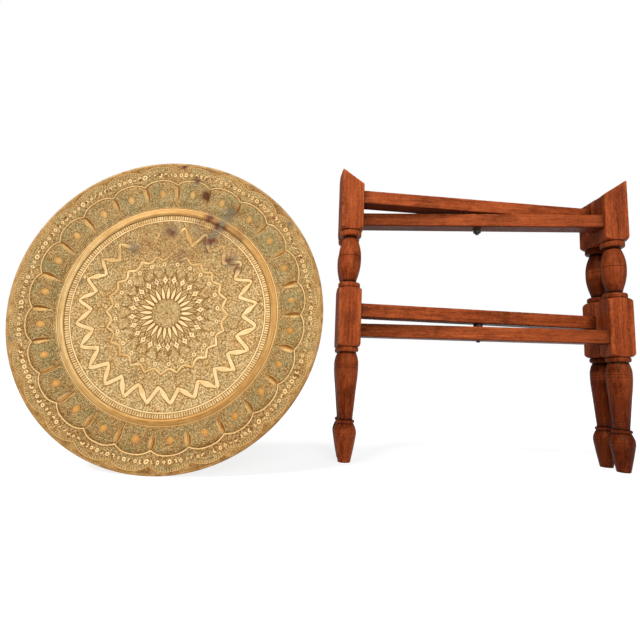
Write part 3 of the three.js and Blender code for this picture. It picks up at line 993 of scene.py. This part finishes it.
def design_leaves(r):
    """Bright pointed leaves round the medallion, with a ring of outlined petals behind them."""
    run = np.clip((r.u - 0.092) / 0.118, 0, 1)
    wide = 0.0235 * np.sin(math.pi * run**0.9) ** 0.7
    here = (r.u > 0.092) & (r.u < 0.210)
    distance = np.where(here, np.abs(r.middle_run), 1)
    r.mark(smooth_step(1.0, 0.7, distance / np.maximum(wide, 1e-4)) * 0.5, 0.58, 0.0)
    r.cut(distance - wide, 0.0030)
    vein = here & (r.u > 0.150) & (r.u < 0.200)
    r.cut(np.where(vein, r.middle_run, 1), 0.0014, 0.7)
    run = np.clip((r.u - 0.090) / 0.082, 0, 1)
    leaf = 0.0098 * np.sin(math.pi * run**0.70) ** 0.85
    here = (r.u > 0.086) & (r.u < 0.176)
    distance = np.where(here, np.abs(r.joint_run), 1)
    r.cut(distance, leaf + 0.0052)
    r.raised(distance, np.maximum(leaf, 0.0004), 0.96, 0.45)


def design_diamonds(r):
    # Fish scales, rounded towards the middle, with a thin echo inside each.
    part = 2 * np.abs(r.joint)
    lobe = 1 - np.sqrt(np.maximum(1 - (0.985 * part) ** 2, 0))
    for offset, half, strength in ((0.0, 0.0024, 0.75), (0.0120, 0.0015, 0.4)):
        centre = 0.230 + offset + 0.060 * lobe
        steep = 0.060 * part / np.sqrt(np.maximum(1 - (0.985 * part) ** 2, 0.03))
        slope = steep * r.pace
        near = np.abs(r.u - 0.26) < 0.055
        r.cut(np.where(near, (r.u - centre) / np.sqrt(1 + slope**2), 1), half, strength)
    away = np.hypot(r.u - 0.268, r.joint_run)
    turn = np.arctan2(r.joint_run, r.u - 0.268)
    flower = soft_band(away, 0.012, 0.002)
    r.mark(flower * 0.4, 0.58 + 0.25 * np.cos(5 * turn), 0.15 * np.cos(5 * turn), 0.1)
    across = np.abs(r.middle_run) / 0.0205
    along = np.abs(r.u - 0.2145 - r.wander * 0.5) / 0.0330
    star = (across**0.72 + along**0.72) ** (1 / 0.72)
    rim = smooth_step(1.42, 1.22, star)
    r.mark(rim, 0.0, -0.2, 0.3)
    r.mark(smooth_step(1.10, 0.96, star), 0.97, 0.4, 0.9)
    r.tint(rim, 0.0)
    r.cut(np.hypot(r.middle_run * 0.8, r.u - 0.2135), 0.0034)


def design_ringlets(r):
    away = np.hypot(r.u - 0.3200, r.middle_run)
    r.cut(np.maximum(away - 0.0140, 0), 0.0018, 0.7)
    r.raised(away, 0.0132, 1.0, 0.35)
    r.cut(away, 0.0046)
    away = np.hypot(r.u - 0.300, np.abs(r.joint_run) - 0.012)
    r.cut(away - 0.010, 0.0013, 0.45)
    away = np.hypot(r.u - 0.425, r.middle_run)
    turn = np.arctan2(r.middle_run, r.u - 0.425)
    r.cut(away - 0.034, 0.0016, 0.35)
    leafy = np.cos(5 * turn) * smooth_step(0.030, 0.020, away)
    r.mark(soft_band(away, 0.026, 0.003) * 0.35, 0.54 + 0.28 * leafy, 0.16 * leafy, 0.1)


def design_star_ring(r):
    """A thin ribbon of shallow arches that meet in bright outward points."""
    part = 2 * np.abs(r.middle)
    centre = 0.3485 + 0.031 * part**1.5 + r.wander * 0.7
    slope = 0.031 * 1.5 * part**0.5 * r.pace
    flat = np.sqrt(1 + slope**2)
    near = np.abs(r.u - 0.36) < 0.06
    strength = r.noise(21, 29)
    r.cut(np.where(near, (r.u - centre - 0.0150) / flat, 1), 0.0016, 0.5)
    half = 0.0022 + 0.0052 * np.sin(math.pi * (0.10 + 0.75 * part))
    distance = np.where(near, (r.u - centre) / flat, 1)
    r.cut(np.abs(distance) - half - 0.0016, 0.0015, 0.6)
    r.raised(distance, half, 0.66 + 0.34 * strength, 0.35)


def design_zigzag(r):
    """The bold ribbon, pointed outwards and rounded inwards, rubbed bright."""
    rng = np.random.default_rng(31)
    inner = 0.4770 + rng.uniform(-0.007, 0.007, PANELS)[r.joint_index]
    outer = 0.5600 + rng.uniform(-0.006, 0.006, PANELS)[r.middle_index]
    part = 2 * np.abs(r.joint)
    bend = 0.030
    swing = (np.sqrt(part**2 + bend) - math.sqrt(bend)) / (math.sqrt(1 + bend) - math.sqrt(bend))
    lean = np.where(r.joint > 0, 1, -1)
    sway = 0.008 * np.sin(TAU * part) * lean * (0.2 + r.noise(26, 32))
    sway = sway + r.uneven(15, 34, 0.010)
    centre = inner + (outer - inner) * swing + sway
    slope = (outer - inner) * 1.18 * part / np.sqrt(part**2 + bend) * r.pace
    distance = (r.u - centre) / np.sqrt(1 + slope**2)
    near = np.abs(r.u - 0.52) < 0.10
    broad = 0.0100 + 0.0022 * smooth_step(0.35, -0.55, np.sin(r.angle))
    half = broad + 0.0018 * np.sin(math.pi * np.clip(part, 0, 1)) - 0.0044 * smooth_step(0.70, 1.0, part)
    rubbed = 1.0 - 0.16 * r.noise(12, 33)
    r.ribbon(np.where(near, distance, 1), half, rubbed, 0.50, 0.0022)
    r.cut(np.hypot(r.joint_run, r.u - inner - 0.0060), 0.0026, 0.9)
    r.cut(np.hypot(r.middle_run, r.u - outer - 0.0020), 0.0024, 0.9)
    spur = (r.u > outer + 0.006) & (r.u < outer + 0.026)
    r.raised(np.where(spur, r.middle_run, 1), 0.0014, 0.85, 0.2)


def design_floor_border(r):
    r.cut(r.u - 0.6060, 0.0014, 0.7)
    r.raised(r.u - 0.6125, 0.0040, 0.98, 0.4)
    ticks = np.cos(264 * r.angle + 1.2 * r.noise(20, 34))
    broken = r.noise(5, 35)
    comb = soft_band(r.u - 0.6320, 0.0128, 0.0014)
    cells = np.where(ticks > -0.25, 0.70 + 0.34 * broken, 0.22 + 0.2 * broken)
    r.mark(comb, cells, 0.24 * ticks, 0.45)
    r.tint(comb, 0.1)
    r.cut(r.u - 0.6180, 0.0012, 0.7)
    r.cut(r.u - 0.6465, 0.0018, 0.9)
    # Painted light: the ridge and its lines are painted lightest on the left, lighter on the right and
    # darkest at the bottom.
    side = -np.cos(r.angle)
    lit = 0.525 + 0.095 * side + 0.150 * np.abs(side) + 0.03 * np.sin(r.angle)
    streaks = 0.26 * (lattice_noise(r.u * 700, r.angle * 26, 2.2, 36) - 0.5)
    crown = soft_band(r.u - 0.6700, 0.0215, 0.0014)
    r.smooth(crown, lit + streaks, 0.14)
    r.plain -= 0.22 * crown
    r.raised(r.u - 0.6525, 0.0026, lit + 0.10, 0.1)
    r.cut(r.u - 0.6870, 0.0014, 0.7)
    r.raised(r.u - 0.6925, 0.0030, lit + 0.26, 0.15)
    r.cut(r.u - 0.6975, 0.0016, 0.9)
    r.raised(r.u - 0.7015, 0.0014, lit, 0.15)


def arch_line(r):
    """The lobed line that closes the panels at their outer ends."""
    return 0.8810 - 0.0340 * (2 * np.abs(r.middle)) ** 2.6


def scallop_line(r):
    return 0.9770 - 0.0350 * (2 * np.abs(r.middle)) ** 2.2


def design_panels(r):
    arch = arch_line(r)
    in_panel = smooth_step(0.700, 0.707, r.u) * smooth_step(arch + 0.002, arch - 0.004, r.u)
    r.tint(in_panel, 0.85 + r.uneven(12, 45, 0.5))
    # Painted light: the panels are painted lighter towards the top of the tray and darker towards the bottom.
    level = 0.385 + 0.135 * np.sin(r.angle) + 0.02 * np.cos(r.angle)
    r.tone = r.tone * (1 - in_panel) + (level + (r.tone - 0.5) * 0.62) * in_panel
    pillow = np.sqrt(np.clip(1 - (2 * np.abs(r.middle)) ** 2.2, 0, 1))
    r.emboss += 1.6 * pillow * smooth_step(0.705, 0.740, r.u) * smooth_step(arch + 0.004, arch - 0.035, r.u)

    # Stippled echoes of the panel's outline and of its boss.
    side = (0.5 - np.abs(r.middle)) * SECTOR * r.u
    inset = np.minimum(np.minimum(side, arch - r.u), r.u - 0.702)
    oval = np.hypot((r.u - 0.785) / 0.0270, r.middle_run / 0.0200)
    rings = np.where(inset < 0.024, np.cos(TAU * inset / 0.0096), np.cos(TAU * (oval - 1) / 0.44))
    beads = r.noise(2.2, 37)
    echo = rings * (0.35 + 1.1 * beads) * in_panel
    r.tone += 0.20 * echo
    r.line += 0.15 * echo
    # Painted shade: the panels darken and turn browner towards the arch line and towards their sides, where
    # the pillows dip.
    r.tone -= 0.16 * smooth_step(0.030, 0.004, arch - r.u) * in_panel
    r.tone -= 0.10 * smooth_step(0.020, 0.002, side) * in_panel
    r.tint(smooth_step(0.022, 0.002, np.minimum(side, arch - r.u)) * in_panel * 0.7, 0.15)

    ragged = r.uneven(6, 47, 0.10)
    lozenge = (np.abs(r.u - 0.785) / 0.0270) ** 1.6 + (np.abs(r.middle_run) / 0.0205) ** 1.6 + 2.2 * ragged
    boss = smooth_step(1.16, 0.72, lozenge)
    r.mark(smooth_step(1.75, 1.30, lozenge) * 0.5, 0.30, -0.15, 0.2)
    r.emboss += 0.30 * np.clip(1 - oval**2, 0, 1)
    # Painted light: the bosses are painted lighter towards the top of the tray.
    light = 0.56 + 0.10 * np.sin(r.angle - 0.3) + ragged
    r.smooth(boss, light + 0.10 * smooth_step(0.6, 0.0, lozenge), 0.10)

    run = np.clip((r.u - 0.722) / 0.128, 0, 1)
    blade = 0.0172 * np.sin(math.pi * run**1.45) ** 0.80
    here = (r.u > 0.722) & (r.u < 0.850)
    distance = np.where(here, np.abs(r.joint_run), 1)
    edge = soft_band(distance - blade - 0.0026, 0.0016, 0.0012)
    r.mark(edge, 0.66, 0.1, 0.4)
    r.tint(edge, 0.6)
    share = distance / np.maximum(blade, 0.0004)
    r.emboss -= 1.5 * np.clip(1 - share, 0, 1) * smooth_step(0.722, 0.75, r.u) * here
    # Painted light and shade: one half of each blade is painted lighter and the other darker, the lighter
    # half changing round the tray, and blades near the top a little lighter.
    painted_upper_light = np.sin(r.angle) * 0.55 - np.abs(np.cos(r.angle)) * 0.15
    lit_half = np.where(r.joint_run > 0, 1.0, -1.0)
    shade = 0.50 + lit_half * np.where(np.sin(r.angle - 0.5) > 0, 0.19, -0.22) + 0.06 * painted_upper_light
    streaky = 0.14 * (lattice_noise(r.joint_run * 900, r.u * 160, 2.0, 48) - 0.5)
    r.smooth(smooth_step(1.08, 0.90, share), shade + streaky, 0.12)
    crease = np.where(here, r.joint_run + 0.0006, 1)
    r.raised(crease - 0.0022, 0.0011, 0.80, 0.1)
    r.cut(crease + 0.0016, 0.0014, 0.85)

    slope = 0.034 * 2.6 * (2 * np.abs(r.middle)) ** 1.6 * 2 / (SECTOR * 0.86)
    off = (r.u - arch) / np.sqrt(1 + slope**2)
    r.cut(off + 0.0060, 0.0022, 0.75)
    r.raised(off, 0.0036, 0.86 + r.uneven(10, 49, 0.12), 0.4)
    r.cut(off - 0.0056, 0.0016, 0.5)


def design_brim(r):
    arch, scallop = arch_line(r), scallop_line(r)
    border = smooth_step(arch + 0.005, arch + 0.009, r.u) * smooth_step(scallop + 0.001, scallop - 0.004, r.u)
    r.tint(border, 0.45 + r.uneven(14, 38, 0.7))
    # Painted light and shade: the border is painted darker, most towards the bottom of the tray and least
    # towards the top.
    low = smooth_step(-0.1, -0.8, np.sin(r.angle))
    high = smooth_step(0.1, 0.9, np.sin(r.angle))
    r.tone -= (0.10 + 0.19 * low - 0.10 * high) * border
    r.tone = r.tone * (1 - 0.25 * border) + 0.40 * 0.25 * border
    shadow = smooth_step(0.022, 0.004, r.u - arch) * border
    r.tone -= 0.16 * shadow
    r.tint(shadow * 0.6, 0.0)

    # A chain of uneven bright ringlets, some whole and some only struck on one side.
    rng = np.random.default_rng(39)
    links = PANELS * 7
    turns = r.angle / TAU * links
    index = np.floor(turns).astype(int) % links
    size = (0.72 + 0.50 * rng.random(links))[index]
    shift = (0.16 * (rng.random(links) - 0.5))[index]
    squash = (0.75 + 0.5 * rng.random(links))[index]
    opening = (TAU * rng.random(links))[index]
    whole = (rng.random(links) > 0.45)[index]
    run = (turns % 1 - 0.5 - shift) / links * TAU * r.u
    rise = r.u - 0.9190 + 0.008 * (2 * np.abs(r.middle)) ** 6 + 0.010 * shift
    oval = np.hypot(rise / 0.0132, run / (0.0112 * squash)) / size
    around = np.cos(np.arctan2(rise, run) - opening)
    hollow = soft_band(oval, 1.22, 0.16)
    r.mark(hollow * 0.9, 0.10, -0.2, 0.3)
    ring = soft_band(oval - 0.68, 0.30, 0.12) * np.where(whole, 1, smooth_step(-0.5, 0.1, around))
    # Painted light: the ringlets are painted lighter everywhere but towards the right-hand side of the tray.
    r.mark(ring, 0.90 + 0.14 * np.where(np.cos(r.angle) < 0.2, 1, 0), 0.35, 0.85)
    r.tint(hollow, 0.0)

    for inset, strength in ((0.0175, 0.55), (0.0310, 0.35)):
        mask = soft_band(scallop - inset - r.u, 0.0014, 0.0010) * border
        r.mark(mask * strength, 0.72, 0.12, 0.4)
    fringe = smooth_step(scallop - 0.019, scallop - 0.016, r.u) * border
    comb = np.cos(408 * r.angle + 2.0 * r.noise(16, 50))
    r.mark(fringe * 0.8, 0.42 + 0.26 * comb, 0.16 * comb, 0.1)
    margin = smooth_step(scallop - 0.001, scallop + 0.003, r.u)
    # Painted light: the margin is painted darker towards the top and more towards the bottom, and lighter at
    # the left and right ends.
    ends = smooth_step(0.6, 1.0, np.abs(np.cos(r.angle)))
    level = 0.37 - 0.05 * high - 0.10 * low + 0.07 * ends
    mottled = r.uneven(11, 40, 0.30) + r.uneven(3, 51, 0.22)
    r.smooth(margin, level + mottled, 0.05)
    r.plain -= 0.74 * margin
    r.cut(r.u - scallop - 0.0040, 0.0014, 0.4)
    r.raised(r.u - scallop, 0.0020, 0.70, 0.25)


STAINS = (
    # across, up, spread (all as shares of the radius), strength
    (0.15, 0.60, 0.050, 1.2), (0.30, 0.59, 0.055, 1.2), (0.22, 0.65, 0.030, 1.2),
    (0.41, 0.53, 0.050, 1.1), (0.24, 0.49, 0.070, 0.9), (0.38, 0.36, 0.045, 1.1),
    (0.44, 0.31, 0.030, 0.9), (-0.03, 0.55, 0.050, 1.0), (-0.27, 0.42, 0.045, 0.9),
    (-0.18, 0.48, 0.040, 0.8), (0.05, 0.38, 0.050, 0.9), (-0.08, 0.21, 0.022, 0.9),
    (0.195, 0.785, 0.030, 1.6), (0.37, 0.68, 0.045, 1.1), (0.13, 0.88, 0.025, 0.9),
    (0.04, 0.97, 0.020, 1.2), (0.22, 0.96, 0.025, 1.1), (0.77, 0.60, 0.022, 1.2),
    (0.955, -0.20, 0.018, 1.0), (-0.95, -0.22, 0.018, 1.0), (-0.58, 0.19, 0.020, 1.1),
    (-0.66, -0.26, 0.015, 1.0),
)
PIT = (-0.452, 0.262, 0.0145)


def tray_stains(r, radius):
    """Brown and grey tarnish, mostly towards the top, and one small dark pit."""
    x, y = r.x / radius, r.y / radius
    stain = np.zeros(x.shape)
    for across, up, spread, strength in STAINS:
        stain += strength * np.exp(-((x - across) ** 2 + (y - up) ** 2) / spread**2)
    ragged = r.noise(9, 41) * 0.6 + r.noise(4, 42) * 0.4
    stain = np.clip(stain, 0, 1.2) * smooth_step(0.28, 0.52, ragged + 0.25 * stain)
    scattered = smooth_step(0.83, 0.93, r.noise(13, 43)) * smooth_step(0.5, 0.8, ragged)
    stain = np.clip(stain + 0.35 * scattered, 0, 1)
    pit = np.exp(-(((x - PIT[0]) ** 2 + (y - PIT[1]) ** 2) / PIT[2] ** 2))
    return stain, pit


def ornament(u, angle, radius):
    """All the ornament, worn away in places towards the top of the floor, where it is also painted darker as
    shade.
    """
    r = Relief(u, angle, radius)
    design_ground(r)
    # Painted shade: the ground is darker towards the top of the tray and lighter towards the bottom.
    r.tone -= 0.10 * r.y / radius
    tone, line = r.tone.copy(), r.line.copy()
    floor = (design_medallion, design_leaves, design_diamonds, design_ringlets, design_star_ring)
    for design in (*floor, design_zigzag):
        design(r)
    height = r.y / radius
    place = smooth_step(0.26, 0.46, height) * smooth_step(0.66, 0.60, r.u)
    worn = place * smooth_step(0.28, 0.54, r.noise(24, 52)) * 0.78
    # The worn places fade back to the ground, and the top of the floor is painted darker as painted shade.
    r.tone = r.tone * (1 - worn) + (tone - 0.03) * worn - 0.085 * place
    r.line = r.line * (1 - worn) + line * worn
    r.plain *= 1 - worn
    design_floor_border(r)
    design_panels(r)
    design_brim(r)
    return r


def belt_rings(belts, start):
    """The share of the radius and the number of columns of every ring of a belted grid."""
    rings = []
    inner = start
    for outer, rows, columns in belts:
        rings += [(inner + (outer - inner) * k / rows, columns) for k in range(rows)]
        inner = outer
    return rings + [(inner, belts[-1][2])]


def stitched(below, above, first, second):
    """Faces between two rings of below and above points that start at those two indices."""
    if below == above:
        j = np.arange(below)
        after = (j + 1) % below
        return np.stack([first + j, first + after, second + after, second + j], -1)
    i = j = 0
    out = []
    while i < below or j < above:
        if j * below <= i * above and j < above or i >= below:
            out.append((first + i % below, second + (j + 1) % above, second + j % above))
            j += 1
        else:
            out.append((first + i % below, first + (i + 1) % below, second + j % above))
            i += 1
    return np.array(out)


def build_tray():
    matrix, radius = tray_place()
    under_rings = belt_rings(UNDER_BELTS, 0.004)
    face_rings = belt_rings(FACE_BELTS, 0.004)[::-1]
    edge_rings = [(share, FACE_BELTS[-1][2]) for share, _ in ROLL]
    rings = under_rings + edge_rings + face_rings
    counts = [columns for _, columns in rings]
    starts = np.concatenate([[0], np.cumsum(counts)])
    u = np.concatenate([np.full(columns, share) for share, columns in rings])
    angle = np.concatenate([np.arange(columns) / columns * TAU for columns in counts])
    under_end = starts[len(under_rings)]
    face_start = starts[len(under_rings) + len(ROLL)]

    # The underside follows the embossing; the rolled edge is plain; the face carries everything.
    heights = np.empty(len(u))
    layers = {key: np.empty(len(u)) for key in ("tone", "plain", "polish", "green", "stain")}

    def fill(part, **values):
        for key, value in values.items():
            layers[key][part] = np.clip(value, 0, 1)

    under = ornament(u[:under_end], angle[:under_end], radius)
    heights[:under_end] = tray_section(under.sheet_u) + under.emboss - SHEET
    spots = np.stack([under.x, under.y, under.x * 0], -1)
    dull = 0.43 + 0.07 * wobble(spots, 70, 61) + 0.05 * wobble(spots, 23, 62)
    fill(slice(0, under_end), tone=dull, plain=0.75, polish=0.25, green=0.30, stain=0.15)

    edge = slice(under_end, face_start)
    heights[edge] = np.concatenate([np.full(FACE_BELTS[-1][2], height) for _, height in ROLL])
    around = angle[edge]
    # The rolled edge: rubbed in places, and painted lighter on the left and towards the top as painted light.
    handled = lattice_noise(np.cos(around) * 90, np.sin(around) * 90, 3.0, 63)
    rubbed = 0.42 - 0.08 * np.cos(around) + 0.30 * (handled - 0.5) + 0.04 * np.sin(around)
    fill(edge, tone=rubbed, plain=0.45, polish=0.10, green=0.10, stain=0.05)

    face = ornament(u[face_start:], angle[face_start:], radius)
    x, y = face.x / radius, face.y / radius
    stained, pit = tray_stains(face, radius)
    rubbed = np.exp(-(((x - 0.02) / 0.42) ** 2 + ((y - 0.50) / 0.17) ** 2))
    faded = 0.60 * rubbed * smooth_step(0.25, 0.70, face.noise(14, 44))
    toned = face.tone * (1 - faded) + 0.42 * faded
    dents = wobble(np.stack([face.x, face.y, face.x * 0], -1), 90, 51) * 0.35
    heights[face_start:] = (
        tray_section(face.sheet_u)
        + face.emboss
        + face.line * (1 - 0.6 * faded)
        + dents * (1 - face.sheet_u**8)
        - 2.2 * pit
    )
    fill(
        slice(face_start, None),
        tone=toned * (1 - pit) - 0.02 * pit,
        plain=face.plain * (1 - 0.5 * faded),
        polish=face.polish,
        green=face.green,
        stain=stained + pit,
    )

    points = np.stack([u * radius * np.cos(angle), u * radius * np.sin(angle), heights], -1)
    faces = [
        stitched(counts[k], counts[k + 1], starts[k], starts[k + 1]) for k in range(len(counts) - 1)
    ]
    ends = ((0, counts[0], -1), (starts[-2], counts[-1], 1))
    for number, (first, columns, side) in enumerate(ends):
        points = np.concatenate([points, points[first : first + columns].mean(0)[None]])
        j = np.arange(columns)
        after = (j + 1) % columns
        near, far = (j, after) if side > 0 else (after, j)
        faces.append(np.stack([np.full(columns, starts[-1] + number), first + near, first + far], -1))
    attributes = {key: np.append(v, [v[0], v[-1]]) for key, v in layers.items()}
    piece = mesh_object("embossed_brass_tray", points, faces, matrix, attributes)
    finish_piece(piece, "tray", brass_material(), "aged_brass", "brass_tray")


# ------------------------------------------------------------------ build the object

for letter, names in FRAMES.items():
    direction = frame_direction(letter)
    seed = 3 if letter == "a" else 11
    build_leg(names["left"], -direction, names["body"], seed)
    build_leg(names["right"], direction, names["body"], seed + 2)
    build_rail(f"upper_rail_{letter}", letter, seed + 4)
    build_rail(f"lower_rail_{letter}", letter, seed + 6)

peg_wood = peg_material()
iron = iron_material()
for node in sorted(frame["nodes"]):
    if node.startswith("tenon_peg"):
        build_peg(node, "a" if "_a_" in node else "b", peg_wood)
    elif "_washer_" in node:
        build_washer(node, iron)
    elif node.startswith("pivot_nut"):
        build_nut(node, iron)
    elif node.startswith("pivot_bolt"):
        build_bolt(node, iron)

build_tray()

# ------------------------------------------------------------------ stage, light and camera


def build_floor():
    mesh = bpy.data.meshes.new("studio_floor")
    span = 30  # metres to each edge
    corners = [(-span, -span, 0), (span, -span, 0), (span, span, 0), (-span, span, 0)]
    mesh.from_pydata(corners, [], [(0, 1, 2, 3)])
    floor = bpy.data.objects.new("studio_floor", mesh)
    bpy.context.scene.collection.objects.link(floor)
    n = Nodes("pale_floor")
    n.shader.inputs["Base Color"].default_value = (0.30, 0.30, 0.30, 1)
    n.shader.inputs["Roughness"].default_value = 0.9
    n.shader.inputs["Specular IOR Level"].default_value = 0.1
    n.shader.inputs["Emission Color"].default_value = (1, 1, 1, 1)
    n.shader.inputs["Emission Strength"].default_value = 0.78
    mesh.materials.append(n.material)


def build_sun(name, azimuth, elevation, strength, spread):
    """A soft distant light that shines from that azimuth (0 is the camera's side) and elevation."""
    light = bpy.data.lights.new(name, "SUN")
    light.energy = strength
    light.angle = math.radians(spread)
    lamp = bpy.data.objects.new(name, light)
    a, e = math.radians(azimuth), math.radians(elevation)
    source = Vector((math.sin(a) * math.cos(e), -math.cos(a) * math.cos(e), math.sin(e)))
    lamp.rotation_mode = "QUATERNION"
    lamp.rotation_quaternion = source.to_track_quat("Z", "Y")
    bpy.context.scene.collection.objects.link(lamp)


def build_world(strength):
    world = bpy.data.worlds.new("studio")
    world.use_nodes = True
    tree = world.node_tree
    back = tree.nodes["Background"]
    back.inputs["Color"].default_value = (1, 1, 1, 1)
    back.inputs["Strength"].default_value = strength
    white = tree.nodes.new("ShaderNodeBackground")
    white.inputs["Color"].default_value = (1, 1, 1, 1)
    white.inputs["Strength"].default_value = 1.0
    rays = tree.nodes.new("ShaderNodeLightPath")
    choice = tree.nodes.new("ShaderNodeMixShader")
    tree.links.new(rays.outputs["Is Camera Ray"], choice.inputs["Fac"])
    tree.links.new(back.outputs["Background"], choice.inputs[1])
    tree.links.new(white.outputs["Background"], choice.inputs[2])
    tree.links.new(choice.outputs["Shader"], tree.nodes["World Output"].inputs["Surface"])
    bpy.context.scene.world = world


def build_camera():
    """The camera low in front of the gap between the tray and the stand, tilted slightly up."""
    place = Vector((-0.57185, -1.53370, 0.26812)) * stand_height
    yaw, pitch, roll = (math.radians(v) for v in (0.439, 7.635, 2.209))
    forward = Vector((math.sin(yaw) * math.cos(pitch), math.cos(yaw) * math.cos(pitch), math.sin(pitch)))
    level = Vector((math.cos(yaw), -math.sin(yaw), 0))
    above = level.cross(forward)
    right = level * math.cos(roll) + above * math.sin(roll)
    up = above * math.cos(roll) - level * math.sin(roll)
    data = bpy.data.cameras.new("camera")
    data.lens = 24.64
    data.sensor_width = 36
    data.clip_start = 0.01
    camera = bpy.data.objects.new("camera", data)
    turn = Matrix((right, up, -forward)).transposed().to_4x4()
    camera.matrix_world = Matrix.Translation(pivot + place) @ turn
    bpy.context.scene.collection.objects.link(camera)
    bpy.context.scene.camera = camera


bpy.context.scene.view_settings.view_transform = "Standard"
build_floor()
build_world(0.32)
build_sun("key_light", -34, 42, 3.3, 18)
build_sun("front_light", 10, 20, 2.2, 30)
build_camera()
